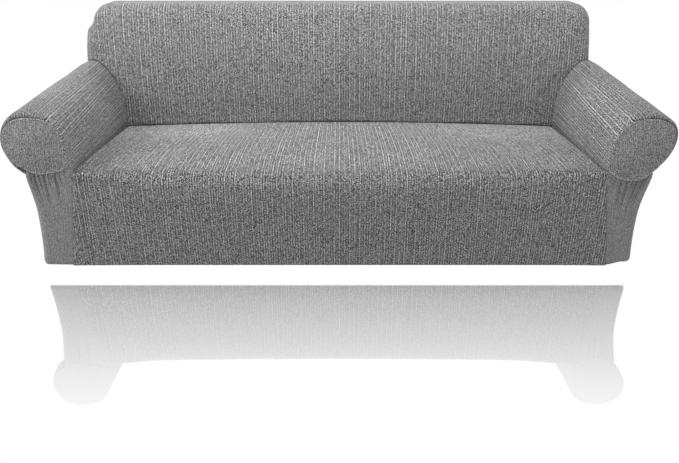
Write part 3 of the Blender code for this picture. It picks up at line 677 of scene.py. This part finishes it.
def face_panel(sign):
    outline, upper = face_outline(sign)
    centre = np.array([ROLL_X, ROLL_Z - 0.006])
    n = len(outline)
    # Even spacing round the outline.
    loop = np.vstack([outline, outline[:1]])
    far = np.concatenate([[0.0], np.cumsum(np.linalg.norm(np.diff(loop, axis=0), axis=1))])
    at = np.linspace(0, far[-1], 241)[:-1]
    ring = np.stack([np.interp(at, far, loop[:, 0]), np.interp(at, far, loop[:, 1])], axis=1)
    lower = at > far[upper - 1]
    reach = np.linalg.norm(ring - centre, axis=1)
    insets = np.array([0.0, 0.0001, 0.0004, 0.0009, 0.0016, 0.0026, 0.0040, 0.0060, 0.0085, 0.0115])
    points, facts, = [], []
    # Below its rim the face runs on inside, to close the seam.
    for depth in (0.0120, 0.0050):
        points.append(np.stack([ring[:, 0], np.full(len(ring), depth), ring[:, 1]], axis=1))
        facts.append(np.zeros(len(ring)))
    for d in insets:
        share = 1.0 - d / reach
        p = centre + (ring - centre) * share[:, None]
        round_in = 0.0030 * (1.0 - math.sqrt(max(0.0, 1.0 - (1.0 - min(1.0, d / 0.0040)) ** 2)))
        dome = -FACE_DOME * smooth((1.0 - share) / 0.75)
        # Along the seam below, the cloth is drawn into a fine roll.
        roll = np.where(lower, -0.0012 * math.exp(-((d - 0.0032) / 0.0022) ** 2), 0.0)
        points.append(np.stack([p[:, 0], dome + round_in + roll, p[:, 1]], axis=1))
        facts.append(np.full(len(ring), d))
    for share0 in list(np.linspace(1.0, 0.0, 27)[1:-1]):
        d0 = insets[-1]
        share = (1.0 - d0 / reach) * share0
        p = centre + (ring - centre) * share[:, None]
        dome = -FACE_DOME * smooth((1.0 - share) / 0.75)
        points.append(np.stack([p[:, 0], dome, p[:, 1]], axis=1))
        facts.append(np.full(len(ring), 1.0))
    points = np.array(points)
    rings, m = points.shape[:2]
    flat = points.reshape(-1, 3)
    middle = np.array([[centre[0], -FACE_DOME, centre[1]]])
    flat = np.vstack([flat, middle])
    flat[:, 1] += 0.0012 * wander(flat[:, 0], flat[:, 2], 0.16, 2.0 if sign < 0 else 6.0) * smooth((0.09 - np.hypot(flat[:, 0] - centre[0], flat[:, 2] - centre[1])) / 0.04)
    faces = []
    for r in range(rings - 1):
        for k in range(m):
            a, b = r * m + k, r * m + (k + 1) % m
            faces.append((a, b, b + m, a + m))
    for k in range(m):
        faces.append(((rings - 1) * m + k, (rings - 1) * m + (k + 1) % m, rings * m))
    if sign > 0:
        faces = [tuple(reversed(f)) for f in faces]
    lean = 0.10
    u = flat[:, 0] + (flat[:, 2] - ROLL_Z) * lean
    v = flat[:, 2].copy()
    painted_shading = np.ones(len(flat))
    near = np.concatenate([np.repeat(np.array([0.0, 0.0])[:, None], m, axis=1), np.repeat(insets[:, None], m, axis=1)]).ravel()
    low = np.tile(lower, len(insets) + 2)
    # Painted highlight: a pale line along the lower seam, where the fine roll of cloth catches the light.
    painted_shading[: len(near)] += np.where(low, 0.55 * np.exp(-(((near - 0.0030) / 0.0024) ** 2)), 0.0)
    flat[:, 0] *= sign
    return flat, np.stack([u, v, painted_shading], axis=1), faces


# ---- skirts ------------------------------------------------------------------------------------
# place across the front (0 at the inner seam), half width in metres, depth, length, drift outwards
GATHERS = {
    -1: (
        (0.110, 0.0026, 0.0016, 0.060, 0.00), (0.235, 0.0028, 0.0020, 0.080, 0.01), (0.300, 0.0022, 0.0010, 0.040, 0.00),
        (0.365, 0.0036, 0.0036, 0.155, 0.01), (0.450, 0.0022, 0.0012, 0.050, 0.00), (0.520, 0.0027, 0.0022, 0.090, 0.01),
        (0.580, 0.0022, 0.0012, 0.045, 0.01), (0.640, 0.0034, 0.0036, 0.165, 0.02), (0.740, 0.0028, 0.0026, 0.110, 0.02),
        (0.800, 0.0022, 0.0012, 0.060, 0.02), (0.855, 0.0036, 0.0038, 0.170, 0.03), (0.930, 0.0028, 0.0026, 0.120, 0.03),
    ),
    1: (
        (0.100, 0.0024, 0.0012, 0.045, 0.00), (0.190, 0.0028, 0.0022, 0.080, 0.00), (0.275, 0.0024, 0.0014, 0.060, 0.01),
        (0.360, 0.0036, 0.0034, 0.130, 0.01), (0.435, 0.0022, 0.0012, 0.050, 0.01), (0.510, 0.0036, 0.0036, 0.160, 0.02),
        (0.575, 0.0022, 0.0014, 0.060, 0.02), (0.640, 0.0028, 0.0026, 0.110, 0.02), (0.735, 0.0034, 0.0038, 0.170, 0.03),
        (0.815, 0.0028, 0.0026, 0.120, 0.03), (0.885, 0.0034, 0.0036, 0.165, 0.03), (0.945, 0.0022, 0.0018, 0.110, 0.03),
    ),
}


def skirt_side_x(sign, z, y):
    x = curve(SKIRT_SIDE, z, 1 if sign < 0 else 2)
    foot_x, foot_z = (mix(a, b, along(y)) for a, b in zip(FOOT, FOOT_REAR))
    top_x = SKIRT_SIDE[-1][1 if sign < 0 else 2]
    return x + (foot_x - top_x) * smooth((z - 0.20) / (foot_z - 0.20)) * smooth(np.asarray(y, float) / 0.15)


def skirt_corner_r(z):
    return mix(SKIRT_CORNER_R, SKIRT_CORNER_TOP_R, smooth((z - 0.24) / 0.13))


def gather(sign, place, below, wide):
    depth = 0.0
    for at, half, deep, length, drift in GATHERS[sign]:
        fade = smooth(1.0 - below / length)
        spread = 1.0 + 0.6 * np.clip(below / 0.12, 0, 1)
        middle = at + drift * (below / 0.1)
        depth = depth + deep * fade * np.exp(-(((place - middle) * wide / (half * spread)) ** 2))
    return depth


def skirt_panel(sign):
    columns = [("front", a) for a in np.linspace(0.0, 1.0, 151)]
    columns += [("corner", d) for d in np.linspace(0, 90, 15)[1:]]
    columns += [("side", y) for y in np.linspace(0.03, REAR_Y - REAR_R, 90)[1:]]
    columns += [("side", REAR_Y - REAR_R + REAR_R * math.sin(math.radians(d))) for d in np.linspace(0, 90, 9)[1:]]
    shares = np.concatenate([np.linspace(0.0, 0.5, 24), np.linspace(0.5, 0.93, 40)[1:], [0.95, 0.965, 0.98, 0.99, 1.0]])
    grid, shades = [], []
    for kind, value in columns:
        y_plan = value if kind == "side" else 0.0
        lift = HEM_LIFT[sign] * float(smooth(value) if kind == "front" else 1.0 if kind == "corner" else smooth(1.0 - value / 0.5))
        foot = HEM_Z + lift
        _, foot_z = (float(mix(a, b, along(y_plan))) for a, b in zip(FOOT, FOOT_REAR))
        top = foot_z - GAP * 0.4
        if kind != "side":
            for _ in range(6):
                place = value if kind == "front" else 1.0
                x = mix(FRONT_SEAM[-1][1] + SEAM_STEP, float(skirt_side_x(sign, top, 0.0) - skirt_corner_r(top)), place)
                top = float(face_seam_z(sign, x)) - GAP * 0.4
        if kind == "corner":
            # Round the corner the top runs up behind the end of the face, then down along the edge of the arm.
            for _ in range(8):
                r = float(skirt_corner_r(top))
                x = float(skirt_side_x(sign, top, 0.0)) - r * (1.0 - math.sin(math.radians(value)))
                top = min(float(face_seam_z(sign, x)) + 0.004 * math.sin(math.radians(value)), foot_z + (FOOT[0] + 0.0012 - x) * 2.15) - GAP * 0.4
        z = mix(foot, top, shares)
        side_x = skirt_side_x(sign, z, y_plan)
        turn = 0.004 * smooth((0.035 - shares) / 0.035)
        radius = skirt_corner_r(z)
        if kind == "front":
            seam = table(FRONT_SEAM, z) + SEAM_STEP * smooth((z - 0.352) / 0.016)
            x = mix(seam, side_x - radius, value)
            wide = float(np.mean(side_x - radius - seam))
            pulled = gather(sign, value, top - z, wide) * smooth(value / 0.03) * smooth((1.0 - value) / 0.03)
            y = pulled * 1.7 + turn
            shade = 1.0 - np.clip(pulled / 0.0036, 0.0, 1.0) * 0.38
        elif kind == "corner":
            a = math.radians(value)
            x = side_x - radius + (radius - turn) * math.sin(a)
            y = radius - (radius - turn) * math.cos(a)
            shade = np.ones(len(z))
        else:
            # Behind the front corner the skirt is gathered more lightly.
            pleat = 0.0
            for k in range(26):
                at = 0.045 + 0.031 * k + 0.007 * math.sin(k * 2.1)
                length = 0.05 + 0.035 * (1 + math.sin(k * 1.3))
                pleat = pleat + (0.0022 + 0.0009 * math.sin(k * 1.9)) * smooth(1.0 - (top - z) / length) * math.exp(-(((value - at) / 0.0062) ** 2))
            x = side_x - rear_inset(value) - turn - pleat
            y = np.full(len(z), value)
            shade = 1.0 - np.clip(pleat / 0.0040, 0.0, 1.0) * 0.30
        grid.append(np.stack([sign * x, y, z], axis=1))
        shades.append(shade)
    points = np.array(grid)
    # Across the ribs: the way round the hem, so that the ribs spread with the cloth.
    middle = points[:, 30]
    u = np.concatenate([[0.0], np.cumsum(np.linalg.norm(np.diff(middle[:, :2], axis=0), axis=1))])
    front = sum(1 for kind, _ in columns if kind == "front")
    u = np.repeat(u[:, None], points.shape[1], axis=1)
    v = points[..., 2]
    facts = np.stack([u, v, np.array(shades), np.full(u.shape, 0.65)], axis=2)
    # The inner edge runs on behind the edge of the front panel.
    behind, more = [], []
    for d, y in ((0.012, 0.0032), (0.007, 0.0030), (0.003, 0.0022), (0.001, 0.0010)):
        p = points[0].copy()
        p[:, 0] -= sign * d
        p[:, 1] = np.maximum(p[:, 1], 0.0) + y
        f = facts[0].copy()
        f[:, 0] -= d
        behind.append(p)
        more.append(f)
    points, facts = np.concatenate([np.array(behind), points]), np.concatenate([np.array(more), facts])
    return points, facts


# ---- outside back --------------------------------------------------------------------------------
def outside_rows(arm_rear, skirt_rear, back_rim):
    """Half width of the outside back on each side, as a table over height."""
    out = {}
    for sign in (-1, 1):
        line = [(z, abs(x)) for x, _, z in skirt_rear[sign]]
        line += [(z, abs(x)) for x, _, z in arm_rear[sign][::-1]]
        rim = [p for p in back_rim if p[0] * sign > 0]
        rim = sorted(rim, key=lambda p: (p[2], -abs(p[0])))
        line += [(p[2], abs(p[0])) for p in rim]
        kept = [line[0]]
        for z, x in line[1:]:
            if z > kept[-1][0] + 1e-5:
                kept.append((z, x))
        out[sign] = np.array(kept)
    return out


def outside_panel(edges):
    top = min(edges[-1][-1][0], edges[1][-1][0]) - 0.0004
    zs = np.concatenate([[HEM_Z, HEM_Z + 0.001, HEM_Z + 0.003], np.linspace(HEM_Z + 0.008, top - 0.07, 70), top - 0.07 * (1 - np.sin(np.linspace(0, math.pi / 2, 26)[1:]))])
    side = np.concatenate([[0.0, 0.0006, 0.0016, 0.0030, 0.0050, 0.009], np.linspace(0.02, 0.98, 60), 1 - np.array([0.009, 0.0050, 0.0030, 0.0016, 0.0006, 0.0])])
    grid = []
    for z in zs:
        left = -(np.interp(z, edges[-1][:, 0], edges[-1][:, 1]) - 0.0004)
        right = np.interp(z, edges[1][:, 0], edges[1][:, 1]) - 0.0004
        x = mix(left, right, side)
        grid.append(np.stack([x, np.full(len(x), REAR_Y), np.full(len(x), z)], axis=1))
    return np.array(grid).swapaxes(0, 1)


# ---- materials -----------------------------------------------------------------------------------
def knit_material(name, colour, rib, seed, ridge, column, streak, fleck, fine, cloud, relief):
    """Heathered rib knit. Every half rib is a column of stitches, each stitch of lighter or darker yarn.

    ridge is the contrast of ribs and grooves; column, streak and fleck are how much the yarn varies from
    one column to the next, along some centimetres of it, and from stitch to stitch.
    """
    material = bpy.data.materials.new(name)
    material.use_nodes = True
    tree = material.node_tree
    nodes, links = tree.nodes, tree.links
    shader = nodes["Principled BSDF"]
    shader.inputs["Roughness"].default_value = 0.92
    shader.inputs["Specular IOR Level"].default_value = 0.2
    shader.inputs["Sheen Weight"].default_value = 0.12
    shader.inputs["Sheen Roughness"].default_value = 0.6
    shader.inputs["Sheen Tint"].default_value = (0.9, 0.9, 0.9, 1.0)

    def maths(kind, a, b=None, c=None):
        made = nodes.new("ShaderNodeMath")
        made.operation = kind
        for slot, value in zip(made.inputs, (a, b, c)):
            if value is None:
                continue
            if isinstance(value, (int, float)):
                slot.default_value = value
            else:
                links.new(value, slot)
        return made.outputs[0]

    def vector(x, y, z):
        made = nodes.new("ShaderNodeCombineXYZ")
        for slot, value in zip(made.inputs, (x, y, z)):
            if isinstance(value, (int, float)):
                slot.default_value = value
            else:
                links.new(value, slot)
        return made.outputs[0]

    def noise(su, sv, offset, detail=1.0, rough=0.5):
        """Soft noise about zero with cells of su by sv metres."""
        made = nodes.new("ShaderNodeTexNoise")
        made.noise_dimensions = "3D"
        made.inputs["Scale"].default_value = 1.0
        made.inputs["Detail"].default_value = detail
        made.inputs["Roughness"].default_value = rough
        links.new(vector(maths("MULTIPLY", u, 1.0 / su), maths("MULTIPLY", v, 1.0 / sv), offset + seed), made.inputs["Vector"])
        return maths("SUBTRACT", made.outputs["Fac"], 0.5)

    def chance(x, y, offset):
        """One random number from -0.5 to 0.5 for each pair of whole numbers."""
        made = nodes.new("ShaderNodeTexWhiteNoise")
        made.noise_dimensions = "3D"
        links.new(vector(x, y, offset + seed), made.inputs["Vector"])
        return maths("SUBTRACT", made.outputs["Value"], 0.5)

    def yarn(length, offset, detail=0.0):
        """Soft noise about zero along each rib, with nothing in common between two ribs."""
        made = nodes.new("ShaderNodeTexNoise")
        made.noise_dimensions = "2D"
        made.inputs["Scale"].default_value = 1.0
        made.inputs["Detail"].default_value = detail
        made.inputs["Roughness"].default_value = 0.6
        links.new(vector(maths("MULTIPLY", v, 1.0 / length), maths("MULTIPLY", number, 17.31 + offset), 0.0), made.inputs["Vector"])
        return maths("SUBTRACT", made.outputs["Fac"], 0.5)

    def loops(su, sv):
        """A random number from -0.5 to 0.5 for every loop, in uneven patches of about su by sv metres."""
        made = nodes.new("ShaderNodeTexVoronoi")
        made.voronoi_dimensions = "2D"
        made.inputs["Scale"].default_value = 1.0
        made.inputs["Randomness"].default_value = 1.0
        links.new(vector(maths("MULTIPLY", u, 1.0 / su), maths("MULTIPLY", v, 1.0 / sv), 0.0), made.inputs["Vector"])
        apart = nodes.new("ShaderNodeSeparateXYZ")
        links.new(made.outputs["Color"], apart.inputs[0])
        return maths("SUBTRACT", apart.outputs[0], 0.5)

    knit = nodes.new("ShaderNodeAttribute")
    knit.attribute_name = "knit"
    painted_shading = nodes.new("ShaderNodeAttribute")
    painted_shading.attribute_name = "painted_shading"
    parts = nodes.new("ShaderNodeSeparateXYZ")
    links.new(knit.outputs["Vector"], parts.inputs[0])
    u, v, deep = parts.outputs
    # Stretched ribs wander a little.
    uu = maths("ADD", u, maths("MULTIPLY", noise(0.055, 0.30, 11.0), rib * 0.4))
    number = maths("FLOOR", maths("ADD", maths("MULTIPLY", uu, 1.0 / rib), 0.5))
    own = chance(number, 3.0, 5.0)
    wave = maths("COSINE", maths("MULTIPLY", uu, 2 * math.pi / rib))
    pair = maths("COSINE", maths("MULTIPLY", uu, math.pi / rib))
    fleck_value = yarn(0.0050, 0.37, 0.0)
    streak_value = yarn(0.15, 0.71, 1.0)
    swing = maths("ADD", maths("MULTIPLY", pair, ridge * 0.6), ridge)
    swing = maths("ADD", swing, maths("MULTIPLY", own, column))
    swing = maths("ADD", swing, maths("MULTIPLY", streak_value, streak))
    swing = maths("ADD", swing, maths("MULTIPLY", fleck_value, fleck))
    light = maths("MULTIPLY", wave, swing)
    # Single loops of lighter and darker yarn.
    light = maths("ADD", light, maths("MULTIPLY", loops(0.0018, 0.0015), fine))
    light = maths("ADD", light, maths("MULTIPLY", noise(0.05, 0.10, 61.0, 2.0), cloud))
    light = maths("MULTIPLY", light, deep)
    # Where the ribs are pulled open, every second one stands out.
    light = maths("ADD", light, maths("MULTIPLY", pair, maths("MULTIPLY", maths("MAXIMUM", maths("SUBTRACT", deep, 1.0), 0.0), 0.28)))
    # The colour is scaled by the painted light and shade that each piece carries.
    level = maths("MULTIPLY", maths("MAXIMUM", maths("ADD", light, 1.0), 0.12), painted_shading.outputs["Fac"])
    shade = nodes.new("ShaderNodeVectorMath")
    shade.operation = "SCALE"
    shade.inputs[0].default_value = colour
    links.new(level, shade.inputs["Scale"])
    links.new(shade.outputs[0], shader.inputs["Base Color"])

    height = maths("ADD", maths("MULTIPLY", wave, 0.6), maths("MULTIPLY", noise(0.0036, 0.0032, 71.0), 0.9))
    raised = nodes.new("ShaderNodeBump")
    raised.inputs["Strength"].default_value = 1.0
    raised.inputs["Distance"].default_value = relief
    links.new(height, raised.inputs["Height"])
    links.new(raised.outputs[0], shader.inputs["Normal"])
    return material


RIB = 0.0098
ribbed = knit_material("ribbed_knit_cloth", (0.0700, 0.0700, 0.0700), RIB, 0.0, ridge=0.80, column=1.0, streak=3.2, fleck=1.6, fine=6.3, cloud=0.14, relief=0.0006)
plain = knit_material("arm_front_knit_cloth", (0.123, 0.123, 0.123), RIB * 0.62, 5.0, ridge=0.22, column=0.20, streak=1.0, fleck=0.7, fine=2.1, cloud=0.14, relief=0.0004)


# ---- pieces --------------------------------------------------------------------------------------
def area_of(item):
    mesh = item.data
    areas = np.empty(len(mesh.polygons))
    mesh.polygons.foreach_get("area", areas)
    return float(areas.sum()) / 2


def settle(item, node, flat, cut=None):
    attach(item, "root")
    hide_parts(node)
    print("%s: %d faces, %.3f m2 of cloth, flat %.3f" % (item.name, len(item.data.polygons), area_of(item), cut or flat[0] * flat[1]))


points, facts = seat_panel()
points, facts = edge_in(points, facts, -1.0, "j1", 0.0020, 0.010)
seat = grid_object("seat_and_front_cloth", points, facts, -1.0, ribbed)
settle(seat, "seat_and_front", (1.83, 1.02))

grid = back_panel()
rim, rear, outward = back_rear(grid)
n, m = grid.shape[:2]
flat_points = grid.reshape(-1, 3)
faces = grid_faces(n, m, False)
rim_index = [j for j in range(m)] + [i * m + m - 1 for i in range(1, n - 1)] + [(n - 1) * m + j for j in range(m - 1, -1, -1)]
start = len(flat_points)
r, q = rear.shape[:2]
flat_points = np.vstack([flat_points, rear.reshape(-1, 3)])
for k in range(r - 1):
    faces.append((rim_index[k], rim_index[k + 1], start + (k + 1) * q, start + k * q))
    for j in range(q - 1):
        faces.append((start + k * q + j, start + (k + 1) * q + j, start + (k + 1) * q + j + 1, start + k * q + j + 1))
u = flat_points[:, 0].copy()
v = flat_points[:, 2].copy()
# Round the edge the knit is measured along the cloth, so that it isn't stretched there.
turned = np.arccos(1.0 - np.clip((grid[..., 1] - back_face_y(grid[..., 2])) / BACK_EDGE_R, 0.0, 1.0))
more = BACK_EDGE_R * (turned - np.sin(turned))
normal = grid_normals(grid, 1.0)
size = np.maximum(np.hypot(normal[..., 0], normal[..., 2]), 1e-6)
u[:start] += (more * normal[..., 0] / size).ravel()
v[:start] += (more * normal[..., 2] / size).ravel()
# Behind the rim the knit runs on as on the flat cloth, straight out from the edge.
over = np.maximum(0.0, rear[..., 1] - rim[:, None, 1])
turned = np.arcsin(np.clip((rear[..., 1] - REAR_Y) / REAR_R + 1.0, 0.0, 1.0))
over += REAR_R * (turned - np.sin(turned))
u[start:] = (u[rim_index][:, None] - outward[:, None, 0] * over).ravel()
v[start:] = (v[rim_index][:, None] - outward[:, None, 1] * over).ravel()
# The foot of the panel lies in shade where it meets the seat.
foot_z = SEAT_REAR_Z - SEAT_SINK_REAR * (flat_points[:, 0] / (float(inner_x(1, SEAT_REAR_Y)) - SOLID - SEAT_TUCK)) ** 2
painted_shading = 1.0 - 0.9 * smooth((foot_z + 0.0040 - flat_points[:, 2]) / 0.0045)
# Painted light: the upper part of the back and its ends are made lighter.
painted_shading *= 1.0 + 0.12 * smooth((flat_points[:, 2] - 0.58) / 0.20) + 0.06 * smooth((np.abs(flat_points[:, 0]) - 0.68) / 0.14)
back = sheet_object("inside_back_cloth", flat_points, np.stack([u * 0.93, v, painted_shading, np.full(len(u), 0.8)], axis=1), faces, ribbed)
settle(back, "inside_back", (2.05, 0.74))

arm_rear, skirt_rear = {}, {}
for sign in (-1, 1):
    points, facts, beside = arm_panel(sign)
    arm_rear[sign] = [points[i, -1] for i in range(beside, len(points))]
    out = 1.0 if sign > 0 else -1.0
    points, facts = edge_in(points, facts, out, "j0", 0.0010, 0.011)
    item = grid_object("arm_%s_cloth" % SIDE[sign], points, facts, out, ribbed)
    settle(item, "arm_%s" % SIDE[sign], (0.62, 0.80))
    flat_points, facts, faces = face_panel(sign)
    item = sheet_object("arm_face_%s_cloth" % SIDE[sign], flat_points, facts, faces, plain)
    settle(item, "arm_face_%s" % SIDE[sign], (0.21, 0.205), 0.036)
    points, facts = skirt_panel(sign)
    skirt_rear[sign] = points[-1]
    out = 1.0 if sign > 0 else -1.0
    points, facts = edge_in(points, facts, out, "j1", 0.0012, 0.006)
    points, facts = edge_in(points, facts, out, "j0", 0.0022, 0.010)
    item = grid_object("arm_skirt_%s_cloth" % SIDE[sign], points, facts, out, plain)
    settle(item, "arm_skirt_%s" % SIDE[sign], (1.05, 0.40))

edges = outside_rows(arm_rear, skirt_rear, rear[:, -1])
points = outside_panel(edges)
facts = np.stack([points[..., 0], points[..., 2], np.ones(points.shape[:2])], axis=2)
points, facts = edge_in(points, facts, -1.0, "j0", 0.0022, 0.010)
item = grid_object("outside_back_cloth", points, facts, -1.0, ribbed)
settle(item, "outside_back", (2.06, 0.82))

# ---- floor and light -----------------------------------------------------------------------------
FLOOR_Z = -MOUNT[2]
mesh = bpy.data.meshes.new("floor")
wide = 30.0
mesh.from_pydata([(-wide, -wide, FLOOR_Z), (wide, -wide, FLOOR_Z), (wide, wide, FLOOR_Z), (-wide, wide, FLOOR_Z)], [], [(0, 1, 2, 3)])
floor = bpy.data.objects.new("floor", mesh)
bpy.context.scene.collection.objects.link(floor)
material = bpy.data.materials.new("pale_floor")
material.use_nodes = True
tree = material.node_tree
tree.nodes.remove(tree.nodes["Principled BSDF"])
glow = tree.nodes.new("ShaderNodeEmission")
glow.inputs["Color"].default_value = (1.0, 1.0, 1.0, 1.0)
glow.inputs["Strength"].default_value = 1.0
gloss = tree.nodes.new("ShaderNodeBsdfGlossy")
gloss.inputs["Color"].default_value = (1.0, 1.0, 1.0, 1.0)
gloss.inputs["Roughness"].default_value = 0.02
share = tree.nodes.new("ShaderNodeMixShader")
# The polished floor mirrors the cover just in front of it and less further off.
where = tree.nodes.new("ShaderNodeNewGeometry")
split = tree.nodes.new("ShaderNodeSeparateXYZ")
tree.links.new(where.outputs["Position"], split.inputs[0])
span = tree.nodes.new("ShaderNodeMapRange")
span.inputs["From Min"].default_value = -MOUNT[1] - 1.0
span.inputs["From Max"].default_value = -MOUNT[1]
tree.links.new(split.outputs[1], span.inputs["Value"])
ramp = tree.nodes.new("ShaderNodeValToRGB")
ramp.color_ramp.interpolation = "LINEAR"
stops = ((0.0, 0.0), (0.135, 0.05), (0.222, 0.09), (0.318, 0.13), (0.425, 0.22), (0.543, 0.35), (0.677, 0.46), (0.827, 0.57), (0.926, 0.66), (0.931, 0.0))
while len(ramp.color_ramp.elements) < len(stops):
    ramp.color_ramp.elements.new(0.5)
for element, (place, value) in zip(ramp.color_ramp.elements, stops):
    element.position = place
    element.color = (value, value, value, 1.0)
tree.links.new(span.outputs["Result"], ramp.inputs["Fac"])
tree.links.new(ramp.outputs["Color"], share.inputs["Fac"])
tree.links.new(glow.outputs[0], share.inputs[1])
tree.links.new(gloss.outputs[0], share.inputs[2])
tree.links.new(share.outputs[0], tree.nodes["Material Output"].inputs["Surface"])
mesh.materials.append(material)

world = bpy.data.worlds.new("studio")
bpy.context.scene.world = world
world.use_nodes = True
world.node_tree.nodes["Background"].inputs["Color"].default_value = (1.0, 1.0, 1.0, 1.0)
world.node_tree.nodes["Background"].inputs["Strength"].default_value = 1.0


def softbox(name, place, aim, wide, high, power):
    light = bpy.data.lights.new(name, "AREA")
    light.shape = "RECTANGLE"
    light.size, light.size_y = wide, high
    light.energy = power
    item = bpy.data.objects.new(name, light)
    bpy.context.scene.collection.objects.link(item)
    start, end = Vector(np.array(place) - MOUNT), Vector(np.array(aim) - MOUNT)
    item.location = start
    item.rotation_euler = (end - start).to_track_quat("-Z", "Y").to_euler()


softbox("upper_left", (-2.6, -0.5, 2.2), (0.2, 0.5, 0.5), 1.2, 1.2, 71.0)
softbox("back_wash", (0.0, -0.1, 1.6), (0.0, 0.74, 0.84), 2.4, 0.3, 31.0)
softbox("front_right", (2.4, -2.6, 1.9), (0.0, 0.0, 0.3), 1.6, 1.6, 16.0)
softbox("front_left", (-2.4, -2.6, 1.9), (0.0, 0.0, 0.3), 1.6, 1.6, 12.0)

bpy.context.scene.view_settings.view_transform = "Standard"
